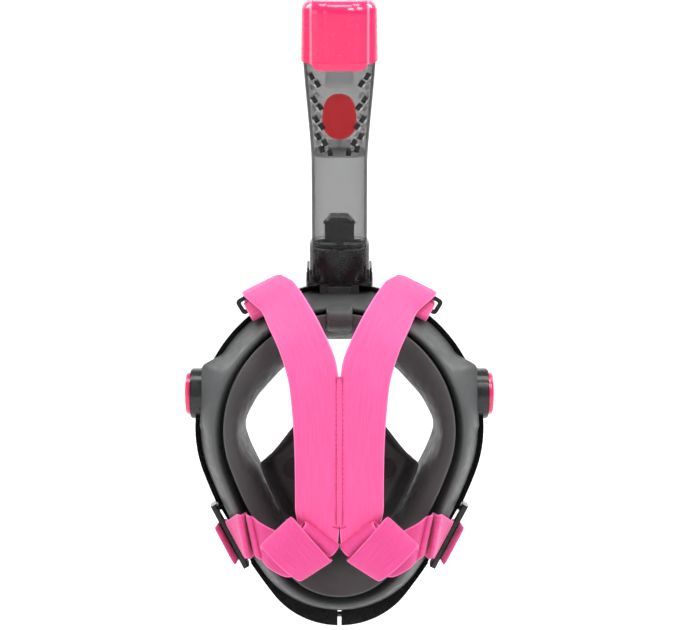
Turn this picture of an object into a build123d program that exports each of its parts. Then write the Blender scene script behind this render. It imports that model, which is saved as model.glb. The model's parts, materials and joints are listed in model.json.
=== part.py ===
from build123d import *
import os
from math import atan2, cos, degrees, radians, sin

# Full face snorkel mask, millimetres. +Z is up, the visor faces -Y and the wearer's head is towards +Y.
# The origin is on the mid-plane, on the face seal, at eye height. "left" is the wearer's left, +X.

os.makedirs("parts", exist_ok=True)
SIDES = (("left", 1), ("right", -1))

# Egg-shaped outline of the mask in the XZ plane: round top, long side arcs, small chin arc
RIM_RADIUS = 102
RIM_BOTTOM = -174.5
EGG_Z = -26.9
EGG_TURN = 18
SIDE_REACH = 201
VISOR_RADIUS = 96
VISOR_BOTTOM = -162
LIP_INSET = 6

# Double-curved surfaces of the mask: foremost Y, radius across, radius upright
EQUATOR_Z = -45
BARREL_HALF = 140
VISOR_SURFACE = (-80, 115, 230)
VISOR_THICKNESS = 2.4
LIP_THICKNESS = 2.5
RIM_SURFACE = (-60, 125, 300)
SEAL_SURFACE = (-4, 125, 500)
CUP_SURFACE = (-30, 125, 500)
FIT = 0.05
FRONT, BACK = -120, 70

# Face skirt
SKIRT_WALL_Y = -16
SKIRT_END_Y = 36
CAVITY_FRONT_Y = -64
SKIRT_END = (82, -141)
CAVITY_FRONT = (67, -126)
CAVITY_END = (77, -137)

# Round side pods with the exhale valves
POD_Y, POD_Z = -18, -2.7
POD_IN, POD_FLOOR, POD_OUT = 95.5, 97.3, 104.6
POD_DIAMETER, POD_BORE = 36, 27
SIDE_PASSAGE = 18
SEAT_THICKNESS, SEAT_HOLE, SEAT_HOLE_RING = 2, 4.4, 6
SIDE_FLAP = 23
RING_DIAMETER, RING_THICKNESS = 34, 1
COVER_DIAMETER, COVER_OUT, COVER_WALL = 30, 109, 1.4
COVER_CORNER, COVER_SKIRT, COVER_SLOT, COVER_SLOT_RING = 2, 1.3, (9, 2), 7.5
FLAP_GAP, FLAP_THICKNESS = 0.1, 0.8

# Snorkel: the foot of its tilted axis, then heights along that axis
PORT_Y, PORT_Z, TILT = -38, 79.5, 15
COLLAR = (42.6, 33, 12)
COLLAR_TOP = 25.3
TUBE = (39.5, 30, 11)
HEAD_START, HEAD_TOP = 88, 160.6
HEAD_SECTIONS = ((HEAD_START, 39.5, 30, 11), (111, 42.5, 38, 13), (137, 47, 43.6, 15),
                 (HEAD_TOP, 50.4, 46.8, 16))
WALL = 2
VENT_ROWS = ((149.5, 19.2, 48), (133.2, 17.4, 50), (119, 16.2, 50), (106.6, 14.8, 42), (97.3, 12.2, 22))
VENT_STEP, VENT_SIZE = 6.2, (3.8, 5)
SPIGOT = (38.2, 28.6, 10)
SPIGOT_TOP, SPIGOT_WALL = 24, 2.5
CAP_TOP, CAP_WALL, CAP_OVERLAP = 201, 2.5, 1
CAP_FOOT, CAP_CROWN = (53.2, 49.8, 17), (51.4, 45.4, 15)
PANEL_WIDTH, PANEL_PROUD, TONGUE_LOW = 40, 1.2, 155.4
FLOAT_Y, FLOAT_RADIUS, FLOAT_LOW, FLOAT_CROWN = 3.5, 12, 114.3, 20
SEAT_MOUTH, SEAT_DIAMETER, SEAT_BORE = 140.5, 20, 17
DIVIDER_Y, DIVIDER_THICKNESS = -9.3, 1.2
FLOOR_LOW, FLOOR_HIGH = 91.5, 93
PIN_HEIGHT, PIN_Y, PIN_DIAMETER, PIN_HALF = 41.4, 3, 2.4, 11.4

# Strap hardware
STRAP_WIDTH, STRAP_THICKNESS = 31.5, 2
BRACKET_Z, BRACKET_ANGLE, BRACKET_REACH = -24, 59.1, 106.5
BRACKET_LENGTH, BRACKET_WIDTH, BRACKET_BAR = 39, 12, 3
BRACKET_Y = (-26.3, -22.8)
STEM_WIDTH, STEM_REACH = 22, 22
BUCKLE_CENTRE = (79, -31.5, -106.2)
BUCKLE_LEAN, BUCKLE_TILT = 27.6, 2
BUCKLE_LENGTH, BUCKLE_BAR, BUCKLE_REACH = 51, 4.2, 14
BUCKLE_ARM, BUCKLE_PIN, PIN_HOLE = (3.2, 4.4), 2, 2.1
LUG, LUG_THICKNESS, LUG_GAP = (10, 10), 3.6, 0.3
RECESS_DEPTH, RECESS_LENGTH = 3.6, 51.8
STRAP_LOOP, STRAP_LOOP_HOLE = (12.6, 8.4), (9, 4.8)

snorkel_foot = Plane(origin=(0, PORT_Y, PORT_Z), x_dir=(1, 0, 0),
                     z_dir=(0, sin(radians(TILT)), cos(radians(TILT))))


def egg(radius, bottom):
    """Egg-shaped face: the top radius and the chin height; equal changes of both give a parallel outline."""
    side_x = SIDE_REACH * cos(radians(EGG_TURN))
    side_z = EGG_Z + SIDE_REACH * sin(radians(EGG_TURN))
    side_radius = radius + SIDE_REACH
    drop = side_z - bottom
    chin_radius = (side_radius**2 - side_x**2 - drop**2) / (2 * (side_radius - drop))
    chin_z = bottom + chin_radius
    jaw = degrees(atan2(chin_z - side_z, side_x))
    with BuildSketch() as face:
        with BuildLine():
            CenterArc((0, EGG_Z), radius, -EGG_TURN, 180 + 2 * EGG_TURN)
            CenterArc((-side_x, side_z), side_radius, jaw, -EGG_TURN - jaw)
            CenterArc((side_x, side_z), side_radius, 180 + EGG_TURN, -EGG_TURN - jaw)
            CenterArc((0, chin_z), chin_radius, -180 - jaw, 180 + 2 * jaw)
        make_face()
    return face.sketch


def prism(face, front, back):
    """An XZ face extruded from one Y to another."""
    with BuildPart() as solid:
        with BuildSketch(Plane.XZ.offset(-back)):
            add(face)
        extrude(amount=back - front)
    return solid.part


def tapered(front_face, front, back_face, back):
    """A loft between two XZ faces."""
    with BuildPart() as solid:
        with BuildSketch(Plane.XZ.offset(-back)):
            add(back_face)
        with BuildSketch(Plane.XZ.offset(-front)):
            add(front_face)
        loft()
    return solid.part


def barrel(surface, inset=0.0):
    """Everything behind a double-curved surface, moved towards the face by inset."""
    front, across, upright = surface[0] + inset, surface[1] - inset, surface[2] - inset
    with BuildPart() as solid:
        with BuildSketch(Plane.YZ):
            with BuildLine():
                rise = degrees(atan2(BARREL_HALF, (upright**2 - BARREL_HALF**2) ** 0.5))
                arc = CenterArc((front + upright, EQUATOR_Z), upright, 180 - rise, 2 * rise)
                Polyline(arc @ 1, (front + across, EQUATOR_Z - BARREL_HALF),
                         (front + across, EQUATOR_Z + BARREL_HALF), arc @ 0)
            make_face()
        revolve(axis=Axis((0, front + across, 0), (0, 0, 1)))
    return solid.part


def rod(plane, diameter, start, end, at=(0, 0)):
    """A cylinder along a plane's normal, between two distances from it."""
    with BuildPart() as solid:
        with BuildSketch(plane.offset(start)):
            with Locations(at):
                Circle(diameter / 2)
        extrude(amount=end - start)
    return solid.part


def snorkel_solid(inset):
    """Outer shape of the snorkel tube with its collar and flared head; inset gives its bore."""
    with BuildPart() as solid:
        with BuildSketch(snorkel_foot):
            RectangleRounded(COLLAR[0] - 2 * inset, COLLAR[1] - 2 * inset, COLLAR[2] - inset)
        extrude(amount=COLLAR_TOP)
        with BuildSketch(snorkel_foot.offset(COLLAR_TOP)):
            RectangleRounded(TUBE[0] - 2 * inset, TUBE[1] - 2 * inset, TUBE[2] - inset)
        extrude(amount=HEAD_START - COLLAR_TOP)
        for height, width, depth, corner in HEAD_SECTIONS:
            with BuildSketch(snorkel_foot.offset(height)):
                RectangleRounded(width - 2 * inset, depth - 2 * inset, corner - inset)
        loft()
    return solid.part


def buckle_plane(side, tilt):
    """Plane at a buckle's pin: normal along the pin, X from the pin to the rear bar, tilted inwards."""
    lean, turn = radians(BUCKLE_LEAN), radians(tilt)
    return Plane(origin=(side * BUCKLE_CENTRE[0], BUCKLE_CENTRE[1], BUCKLE_CENTRE[2]),
                 x_dir=(-side * sin(turn) * cos(lean), cos(turn), sin(turn) * sin(lean)),
                 z_dir=(-side * sin(lean), 0, -cos(lean)))


def ribbon(stations, thickness=STRAP_THICKNESS, width=STRAP_WIDTH):
    """Flat webbing through stations of (centre, direction across the webbing, direction along it)."""
    with BuildPart() as solid:
        for centre, across, along in stations:
            with BuildSketch(Plane(origin=centre, x_dir=across, z_dir=along)):
                Rectangle(width, thickness)
        loft(ruled=True)
    return solid.part


visor_outside = barrel(VISOR_SURFACE, -FIT)
visor_inside = barrel(VISOR_SURFACE, VISOR_THICKNESS)
rim_back = barrel(RIM_SURFACE)
visor_outline = egg(VISOR_RADIUS - FIT, VISOR_BOTTOM + FIT)
pod_plane = Plane(origin=(0, POD_Y, POD_Z), x_dir=(0, 1, 0), z_dir=(1, 0, 0))

# Chin purge valve: its axis is square to the visor below the mouth
PURGE_Z, PURGE_SEAT, PURGE_BORE, PURGE_FLAP, PURGE_HOLE = -122, 30, 20, 22, 24
PURGE_Y, PURGE_SLOPE = -66.6, 19.5
PURGE_LIP, PURGE_INNER, PURGE_BAR = (0.5, 2.3), -5, 1.8
PURGE_COVER, PURGE_SLOT = (2.35, 11, 1.5), (15, 2.2, 5)
purge = Plane(origin=(0, PURGE_Y, PURGE_Z), x_dir=(1, 0, 0),
              z_dir=(0, -cos(radians(PURGE_SLOPE)), -sin(radians(PURGE_SLOPE))))

# ---------------------------------------------------------------- visor
with BuildPart() as visor:
    add(prism(visor_outline, FRONT, BACK))
    add(barrel(VISOR_SURFACE), mode=Mode.INTERSECT)
    add(visor_inside, mode=Mode.SUBTRACT)
    add(rod(purge, PURGE_HOLE, -12, 12), mode=Mode.SUBTRACT)
visor.part.label = "visor"
export_step(visor.part, "parts/visor.step")

# ---------------------------------------------------------------- rim halves
CHIN_GAP, TOP_GAP = 2.8, 0.2
CHIN_SCREW = (0, -40, -168.3)
SCREW_DIAMETER, SCREW_HEAD, SCREW_REACH = 4, 7, 14
HEAD_SEAT, HEAD_LENGTH = 6, 3.5
NUT_RADIUS, NUT_START = 3.7, -10
PASSAGE_HALF, PASSAGE_Y, PASSAGE_Z = 14, (-46.5, -37.5), 70
PASSAGE_DEPTH = PASSAGE_Y[1] - PASSAGE_Y[0]

with BuildPart() as ring:
    add(prism(egg(RIM_RADIUS, RIM_BOTTOM), FRONT, BACK))
    add(barrel(VISOR_SURFACE, -LIP_THICKNESS), mode=Mode.INTERSECT)
    add(rim_back, mode=Mode.SUBTRACT)
    add(prism(egg(VISOR_RADIUS - LIP_INSET, VISOR_BOTTOM + LIP_INSET), FRONT, BACK), mode=Mode.SUBTRACT)
    add(prism(egg(VISOR_RADIUS, VISOR_BOTTOM), FRONT, BACK) & visor_outside, mode=Mode.SUBTRACT)
    with Locations((0, sum(PASSAGE_Y) / 2, PASSAGE_Z)):
        Box(2 * PASSAGE_HALF, PASSAGE_DEPTH, 30, mode=Mode.SUBTRACT)
    with Locations((0, -45, RIM_BOTTOM + 5)):
        Box(CHIN_GAP, 40, 30, mode=Mode.SUBTRACT)

chin_axis = Plane(origin=CHIN_SCREW, x_dir=(0, 1, 0), z_dir=(1, 0, 0))
for name, side in SIDES:
    half_space = Plane.YZ.offset(side * TOP_GAP / 2)
    buckle_axis = buckle_plane(side, 0)
    lug_at = BUCKLE_LENGTH / 2 - BUCKLE_ARM[0] - LUG_GAP - LUG_THICKNESS / 2
    with BuildPart() as rim:
        add(ring.part)
        split(bisect_by=half_space, keep=Keep.TOP if side > 0 else Keep.BOTTOM)
        add(rod(pod_plane, POD_DIAMETER, side * POD_IN, side * POD_OUT))
        add(rod(pod_plane, POD_BORE, side * POD_FLOOR, side * (POD_OUT + 1)), mode=Mode.SUBTRACT)
        add(rod(pod_plane, SIDE_PASSAGE, side * 80, side * (POD_OUT + 1)), mode=Mode.SUBTRACT)
        with BuildSketch(buckle_axis.offset(-RECESS_LENGTH / 2)):
            with Locations((10, side * (10 - RECESS_DEPTH))):
                Rectangle(40, 20)
        extrude(amount=RECESS_LENGTH, mode=Mode.SUBTRACT)
        for lug in (-lug_at, lug_at):
            with BuildSketch(buckle_axis.offset(lug - LUG_THICKNESS / 2)):
                with Locations((-3, -2 * side)):
                    Rectangle(*LUG)
            extrude(amount=LUG_THICKNESS)
            add(rod(buckle_axis, PIN_HOLE, lug - LUG_THICKNESS, lug + LUG_THICKNESS), mode=Mode.SUBTRACT)
        add(rod(chin_axis, SCREW_DIAMETER + 0.1, -30, 30), mode=Mode.SUBTRACT)
        add(rod(chin_axis, SCREW_HEAD + 1, side * HEAD_SEAT, side * 30), mode=Mode.SUBTRACT)
    rim.part.label = f"rim_{name}"
    export_step(rim.part, f"parts/rim_{name}.step")

with BuildPart() as chin_screw:
    add(rod(chin_axis, SCREW_DIAMETER, -SCREW_REACH, SCREW_REACH))
    add(rod(chin_axis, SCREW_HEAD, HEAD_SEAT, HEAD_SEAT + HEAD_LENGTH))
with BuildPart() as chin_nut:
    with BuildSketch(chin_axis.offset(NUT_START)):
        RegularPolygon(NUT_RADIUS, 6)
    extrude(amount=HEAD_LENGTH)
    add(rod(chin_axis, SCREW_DIAMETER, -20, 20), mode=Mode.SUBTRACT)
chin_screw.part.label = "chin_screw"
export_step(chin_screw.part, "parts/chin_screw.step")
chin_nut.part.label = "chin_nut"
export_step(chin_nut.part, "parts/chin_nut.step")

# ---------------------------------------------------------------- face skirt and nose cup
PORT_NOTCH, PORT_NOTCH_AT = (30, 36, 22), (0, -33, 68)
DUCT_NOTCH, DUCT_NOTCH_AT = (20.6, 34, 60), (0, -53, 52)
with BuildPart() as skirt:
    add(prism(egg(VISOR_RADIUS - 2 * FIT, VISOR_BOTTOM + 2 * FIT), FRONT, SKIRT_WALL_Y))
    add(tapered(egg(VISOR_RADIUS - 2 * FIT, VISOR_BOTTOM + 2 * FIT), SKIRT_WALL_Y,
                egg(*SKIRT_END), SKIRT_END_Y))
    add(barrel(VISOR_SURFACE, VISOR_THICKNESS + FIT), mode=Mode.INTERSECT)
    add(barrel(SEAL_SURFACE), mode=Mode.SUBTRACT)
    add(prism(egg(*CAVITY_FRONT), FRONT, CAVITY_FRONT_Y), mode=Mode.SUBTRACT)
    add(tapered(egg(*CAVITY_FRONT), CAVITY_FRONT_Y, egg(*CAVITY_END), SKIRT_END_Y), mode=Mode.SUBTRACT)
    add(rod(pod_plane, SIDE_PASSAGE, -100, 100), mode=Mode.SUBTRACT)
    add(rod(purge, PURGE_HOLE, -40, 12), mode=Mode.SUBTRACT)
    with Locations(PORT_NOTCH_AT):
        Box(*PORT_NOTCH, mode=Mode.SUBTRACT)
    with Locations(DUCT_NOTCH_AT):
        Box(*DUCT_NOTCH, mode=Mode.SUBTRACT)
skirt.part.label = "face_skirt"
export_step(skirt.part, "parts/face_skirt.step")

CUP_FRONT_Y, CUP_WALL, CUP_CORNER = -52, 2.5, 6
CUP_OUTLINE = ((0, 2), (-55, -52), (-40, -92), (-14, -112), (14, -112), (40, -92), (55, -52))
VALVE_X, VALVE_Z = 33, -62
VALVE_SEAT, VALVE_HOLE, VALVE_FLAP = 20, 13, 16
VALVE_BAR, VALVE_BAR_DEPTH = 1.6, 1.2


def cup_face(inset):
    """Arched outline of the nose cup."""
    with BuildSketch() as face:
        with BuildLine():
            Polyline(*CUP_OUTLINE, close=True)
        make_face()
        fillet(face.vertices(), CUP_CORNER)
        if inset:
            offset(amount=-inset, mode=Mode.REPLACE)
    return face.sketch


with BuildPart() as nose_cup:
    add(prism(cup_face(0), CUP_FRONT_Y, 0))
    add(prism(cup_face(CUP_WALL), CUP_FRONT_Y + CUP_WALL, 10), mode=Mode.SUBTRACT)
    add(barrel(CUP_SURFACE), mode=Mode.SUBTRACT)
    with BuildSketch(Plane.XZ.offset(-CUP_FRONT_Y + 5)):
        with Locations((VALVE_X, VALVE_Z), (-VALVE_X, VALVE_Z)):
            Circle(VALVE_SEAT / 2)
    extrude(amount=-20, mode=Mode.SUBTRACT)
    add(rod(purge, PURGE_HOLE, -40, 12), mode=Mode.SUBTRACT)
nose_cup.part.label = "nose_cup"
export_step(nose_cup.part, "parts/nose_cup.step")

for name, side in SIDES:
    valve = Plane(origin=(side * VALVE_X, CUP_FRONT_Y, VALVE_Z), x_dir=(1, 0, 0), z_dir=(0, 1, 0))
    with BuildPart() as seat:
        add(rod(valve, VALVE_SEAT - 2 * FIT, 0, CUP_WALL))
        add(rod(valve, VALVE_HOLE, -1, CUP_WALL + 1), mode=Mode.SUBTRACT)
        with BuildSketch(valve):
            Rectangle(VALVE_HOLE + 1, VALVE_BAR)
            Rectangle(VALVE_BAR, VALVE_HOLE + 1)
        extrude(amount=VALVE_BAR_DEPTH)
    seat.part.label = f"inhale_seat_{name}"
    export_step(seat.part, f"parts/inhale_seat_{name}.step")
    flap = rod(valve, VALVE_FLAP, CUP_WALL + FLAP_GAP, CUP_WALL + FLAP_GAP + FLAP_THICKNESS)
    flap.label = f"inhale_flap_{name}"
    export_step(flap, f"parts/inhale_flap_{name}.step")

# ---------------------------------------------------------------- chin purge valve
with BuildPart() as purge_seat:
    add(rod(purge, PURGE_SEAT, *PURGE_LIP))
    add(rod(purge, PURGE_HOLE - 2 * FIT, PURGE_INNER + 1, PURGE_LIP[1]))
    add(rod(purge, PURGE_BORE, PURGE_INNER, PURGE_LIP[1] + 1), mode=Mode.SUBTRACT)
    with BuildSketch(purge.offset(-2)):
        Rectangle(PURGE_BORE + 1, PURGE_BAR)
        Rectangle(PURGE_BAR, PURGE_BORE + 1)
    extrude(amount=3)
with BuildPart() as purge_cover:
    cover_low, cover_high, cover_wall = PURGE_COVER
    add(rod(purge, PURGE_SEAT, cover_low, cover_high))
    fillet(purge_cover.edges().sort_by(Axis(purge.origin, purge.z_dir))[-1], 4)
    add(rod(purge, PURGE_SEAT - 2 * cover_wall, cover_low - 1, cover_high - cover_wall), mode=Mode.SUBTRACT)
    with BuildSketch(purge.offset(cover_high + 1)):
        with GridLocations(PURGE_SLOT[2], 1, 4, 1):
            SlotOverall(PURGE_SLOT[0], PURGE_SLOT[1], rotation=90)
    extrude(amount=-4, mode=Mode.SUBTRACT)
purge_flap = rod(purge, PURGE_FLAP, PURGE_LIP[1] + FLAP_GAP, PURGE_LIP[1] + FLAP_GAP + FLAP_THICKNESS)
purge_flap.label = "purge_flap"
export_step(purge_flap, "parts/purge_flap.step")
purge_seat.part.label = "purge_seat"
export_step(purge_seat.part, "parts/purge_seat.step")
purge_cover.part.label = "purge_cover"
export_step(purge_cover.part, "parts/purge_cover.step")

# ---------------------------------------------------------------- side valves in the pods
for name, side in SIDES:
    with BuildPart() as seat:
        add(rod(pod_plane, POD_BORE - 2 * FIT, side * POD_FLOOR, side * (POD_FLOOR + SEAT_THICKNESS)))
        with BuildSketch(pod_plane.offset(side * (POD_FLOOR - 1))):
            with PolarLocations(SEAT_HOLE_RING, 6):
                Circle(SEAT_HOLE / 2)
        extrude(amount=side * (SEAT_THICKNESS + 2), mode=Mode.SUBTRACT)
    seat.part.label = f"side_seat_{name}"
    export_step(seat.part, f"parts/side_seat_{name}.step")
    flap_in = POD_FLOOR + SEAT_THICKNESS + FLAP_GAP
    flap = rod(pod_plane, SIDE_FLAP, side * flap_in, side * (flap_in + FLAP_THICKNESS))
    flap.label = f"side_flap_{name}"
    export_step(flap, f"parts/side_flap_{name}.step")
    with BuildPart() as clamp_ring:
        add(rod(pod_plane, RING_DIAMETER, side * POD_OUT, side * (POD_OUT + RING_THICKNESS)))
        add(rod(pod_plane, POD_BORE, side * (POD_OUT - 1), side * (POD_OUT + 2)), mode=Mode.SUBTRACT)
    clamp_ring.part.label = f"side_ring_{name}"
    export_step(clamp_ring.part, f"parts/side_ring_{name}.step")
    with BuildPart() as cover:
        add(rod(pod_plane, COVER_DIAMETER, side * (POD_OUT + RING_THICKNESS), side * COVER_OUT))
        fillet(cover.edges().sort_by(Axis.X)[-1 if side > 0 else 0], COVER_CORNER)
        add(rod(pod_plane, POD_BORE - 2 * FIT, side * (POD_OUT - 2), side * (POD_OUT + 1.5)))
        add(rod(pod_plane, POD_BORE - 2 * COVER_SKIRT, side * (POD_OUT - 3), side * (COVER_OUT - COVER_WALL)),
            mode=Mode.SUBTRACT)
        with BuildSketch(pod_plane.offset(side * (COVER_OUT + 1))):
            with PolarLocations(COVER_SLOT_RING, 3):
                SlotOverall(*COVER_SLOT, rotation=90)
        extrude(amount=-side * 4, mode=Mode.SUBTRACT)
    cover.part.label = f"side_cover_{name}"
    export_step(cover.part, f"parts/side_cover_{name}.step")

# ---------------------------------------------------------------- port and what stands on it
BASE, BASE_THICKNESS = (48, 34, 9), 9
CHEEK, CHEEK_AT = (28, 11.2, 11.4), (0, -28.2, 69.2)
EAR, EAR_X, EAR_HEIGHT = (1.6, 16), 22.4, 9
GROOVE_DROP, GROOVE_WIDTH, GROOVE_DEPTH = 4, 2, 1.4
LATCH, LATCH_AT = (17, 3.6, 8.6), (0, -23.4, 68.9)
LATCH_POCKET, LATCH_POCKET_AT = (17.4, 6, 11.2), (0, -24.5, 69.5)
TONGUE_SLOT, COLLAR_TONGUE = (9, 4.8), (8, 2)
with BuildPart() as port:
    with BuildSketch(snorkel_foot):
        RectangleRounded(*BASE)
    extrude(amount=-BASE_THICKNESS)
    add(prism(egg(RIM_RADIUS + FIT, RIM_BOTTOM), FRONT, BACK), mode=Mode.SUBTRACT)
    with Locations(CHEEK_AT):
        Box(*CHEEK)
    with BuildSketch(snorkel_foot):
        RectangleRounded(*SPIGOT)
    extrude(amount=SPIGOT_TOP)
    with BuildSketch(snorkel_foot):
        for ear in (-1, 1):
            with Locations((ear * EAR_X, 0)):
                Rectangle(*EAR)
    extrude(amount=EAR_HEIGHT)
    with BuildSketch(snorkel_foot.offset(SPIGOT_TOP - GROOVE_DROP)):
        RectangleRounded(*SPIGOT)
        offset(amount=-GROOVE_DEPTH, mode=Mode.SUBTRACT)
    extrude(amount=GROOVE_WIDTH, mode=Mode.SUBTRACT)
    with BuildSketch(snorkel_foot.offset(-2)):
        RectangleRounded(SPIGOT[0] - 2 * SPIGOT_WALL, SPIGOT[1] - 2 * SPIGOT_WALL, SPIGOT[2] - SPIGOT_WALL)
    extrude(amount=SPIGOT_TOP + 4, mode=Mode.SUBTRACT)
    with Locations((0, sum(PASSAGE_Y) / 2, PASSAGE_Z + 1)):
        Box(2 * PASSAGE_HALF - 0.2, PASSAGE_DEPTH - 0.2, 18)
        Box(2 * PASSAGE_HALF - 3, PASSAGE_DEPTH - 3, 40, mode=Mode.SUBTRACT)
    with Locations(LATCH_POCKET_AT):
        Box(*LATCH_POCKET, mode=Mode.SUBTRACT)
    with BuildSketch(snorkel_foot.offset(-2.4)):
        with Locations((0, COLLAR[1] / 2)):
            Rectangle(*TONGUE_SLOT)
    extrude(amount=3, mode=Mode.SUBTRACT)
port.part.label = "port"
export_step(port.part, "parts/port.step")

with BuildPart() as port_seal:
    with BuildSketch(snorkel_foot.offset(SPIGOT_TOP - GROOVE_DROP + 0.1)):
        RectangleRounded(SPIGOT[0] + 0.2, SPIGOT[1] + 0.2, SPIGOT[2])
        offset(amount=-GROOVE_DEPTH - FIT, mode=Mode.SUBTRACT)
    extrude(amount=GROOVE_WIDTH - 0.2)
port_seal.part.label = "port_seal"
export_step(port_seal.part, "parts/port_seal.step")

with BuildPart() as latch:
    with Locations(LATCH_AT):
        Box(*LATCH)
    chamfer(latch.edges().filter_by(Axis.Y).group_by(Axis.Z)[0], 2.5)
    fillet(latch.edges().filter_by(Axis.X).group_by(Axis.Y)[-1], 0.8)
latch.part.label = "release_latch"
export_step(latch.part, "parts/release_latch.step")

DUCT_WIDTH, DUCT_WALL = 20, 1.8
DUCT_OUTSIDE = ((-61, 36), (-47, 36), (-37.6, 56), (-37.6, 61), (-46.4, 61), (-50, 58))
DUCT_INSIDE = ((-58, 35), (-49, 35), (-39.4, 55), (-39.4, 62), (-44.6, 62), (-47, 57))
with BuildPart() as forehead_duct:
    with BuildSketch(Plane.YZ.offset(-DUCT_WIDTH / 2)):
        Polygon(*DUCT_OUTSIDE, align=None)
    extrude(amount=DUCT_WIDTH)
    with BuildSketch(Plane.YZ.offset(DUCT_WALL - DUCT_WIDTH / 2)):
        Polygon(*DUCT_INSIDE, align=None)
    extrude(amount=DUCT_WIDTH - 2 * DUCT_WALL, mode=Mode.SUBTRACT)
forehead_duct.part.label = "forehead_duct"
export_step(forehead_duct.part, "parts/forehead_duct.step")

TOWER_LOW, TOWER_HIGH, TOWER, TOWER_CORNER = 28.5, 45.6, (18, 12), 3
TOWER_FOOT_DEPTH, TOWER_POST, TOWER_POST_LOW = 6, (5.6, 5), 13
TOWER_CAVITY, TOWER_CAVITY_HEIGHT, TOWER_WINDOW = (13, 8), 8, (11, 6)
FLAP_LOW, FLAP_PLATE, FLAP_BACK = 30, (20.8, 1), 7.1
ARM_X, ARM, ARM_BACK, ARM_HEIGHT = 9.8, (1.2, 6.4), 4.4, 6
back_view = Plane(origin=snorkel_foot.origin, x_dir=(1, 0, 0), z_dir=-snorkel_foot.y_dir)
axis_line = Axis(snorkel_foot.origin, snorkel_foot.z_dir)
pin_plane = Plane(origin=snorkel_foot.from_local_coords((0, PIN_Y, PIN_HEIGHT)), x_dir=snorkel_foot.y_dir,
                  z_dir=(1, 0, 0))
with BuildPart() as tower:
    with BuildSketch(snorkel_foot.offset(SPIGOT_TOP - 3.5)):
        Rectangle(SPIGOT[0] - 2 * SPIGOT_WALL - 0.1, TOWER_FOOT_DEPTH)
    extrude(amount=4)
    with BuildSketch(snorkel_foot.offset(TOWER_POST_LOW)):
        Rectangle(*TOWER_POST)
    extrude(amount=TOWER_LOW - TOWER_POST_LOW + 1)
    with BuildSketch(snorkel_foot.offset(TOWER_LOW)):
        Rectangle(*TOWER)
    extrude(amount=TOWER_HIGH - TOWER_LOW)
    chamfer(tower.edges().group_by(axis_line)[-1].filter_by(Axis((0, 0, 0), snorkel_foot.y_dir)),
            TOWER_CORNER)
    with BuildSketch(snorkel_foot.offset(TOWER_LOW + 2)):
        Rectangle(*TOWER_CAVITY)
    extrude(amount=TOWER_CAVITY_HEIGHT, mode=Mode.SUBTRACT)
    with BuildSketch(back_view):
        with Locations((0, TOWER_LOW + 5.5)):
            Rectangle(*TOWER_WINDOW)
    extrude(amount=-12, mode=Mode.SUBTRACT)
    add(rod(pin_plane, PIN_DIAMETER + 0.1, -20, 20), mode=Mode.SUBTRACT)
tower.part.label = "valve_tower"
export_step(tower.part, "parts/valve_tower.step")

tower_pin = rod(pin_plane, PIN_DIAMETER, -PIN_HALF, PIN_HALF)
tower_pin.label = "tower_pin"
export_step(tower_pin, "parts/tower_pin.step")

with BuildPart() as tower_flap:
    with BuildSketch(snorkel_foot.offset(FLAP_LOW)):
        with Locations((0, FLAP_BACK)):
            Rectangle(*FLAP_PLATE)
    extrude(amount=PIN_HEIGHT - FLAP_LOW)
    for arm in (-ARM_X, ARM_X):
        with BuildSketch(snorkel_foot.offset(PIN_HEIGHT - 4)):
            with Locations((arm, ARM_BACK)):
                Rectangle(*ARM)
        extrude(amount=ARM_HEIGHT)
    add(rod(pin_plane, PIN_DIAMETER + 0.1, -20, 20), mode=Mode.SUBTRACT)
tower_flap.part.label = "tower_flap"
export_step(tower_flap.part, "parts/tower_flap.step")

# ---------------------------------------------------------------- snorkel
with BuildPart() as tube:
    add(snorkel_solid(0))
    add(snorkel_solid(WALL), mode=Mode.SUBTRACT)
    with BuildSketch(snorkel_foot.offset(-2)):
        with Locations((0, COLLAR[1] / 2 - 1)):
            Rectangle(*COLLAR_TONGUE)
    extrude(amount=4)
    with BuildSketch(back_view):
        for height, reach, slope in VENT_ROWS:
            for edge in (-1, 1):
                for step in (0, VENT_STEP):
                    along = radians(slope)
                    with Locations((edge * (reach - step * cos(along)), height - step * sin(along))):
                        Rectangle(VENT_SIZE[0], VENT_SIZE[1], rotation=edge * (slope - 12))
    extrude(amount=-40, mode=Mode.SUBTRACT)
tube.part.label = "snorkel_tube"
export_step(tube.part, "parts/snorkel_tube.step")

with BuildPart() as floor:
    with BuildSketch(snorkel_foot.offset(FLOOR_LOW)):
        with Locations((0, DIVIDER_Y + 20)):
            Rectangle(60, 40)
    extrude(amount=FLOOR_HIGH - FLOOR_LOW)
    with BuildSketch(snorkel_foot.offset(FLOOR_HIGH)):
        with Locations((0, FLOAT_Y)):
            Rectangle(16, 1.5)
            Rectangle(1.5, 12)
    extrude(amount=FLOAT_LOW - FLOAT_RADIUS - FLOOR_HIGH - 0.3)
    add(snorkel_solid(WALL + FIT), mode=Mode.INTERSECT)
floor.part.label = "float_floor"
export_step(floor.part, "parts/float_floor.step")

with BuildPart() as divider:
    with BuildSketch(snorkel_foot.offset(FLOOR_LOW)):
        with Locations((0, DIVIDER_Y - DIVIDER_THICKNESS / 2)):
            Rectangle(60, DIVIDER_THICKNESS)
    extrude(amount=HEAD_TOP - 3 - FLOOR_LOW)
    add(snorkel_solid(WALL + FIT), mode=Mode.INTERSECT)
divider.part.label = "airway_divider"
export_step(divider.part, "parts/airway_divider.step")

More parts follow.
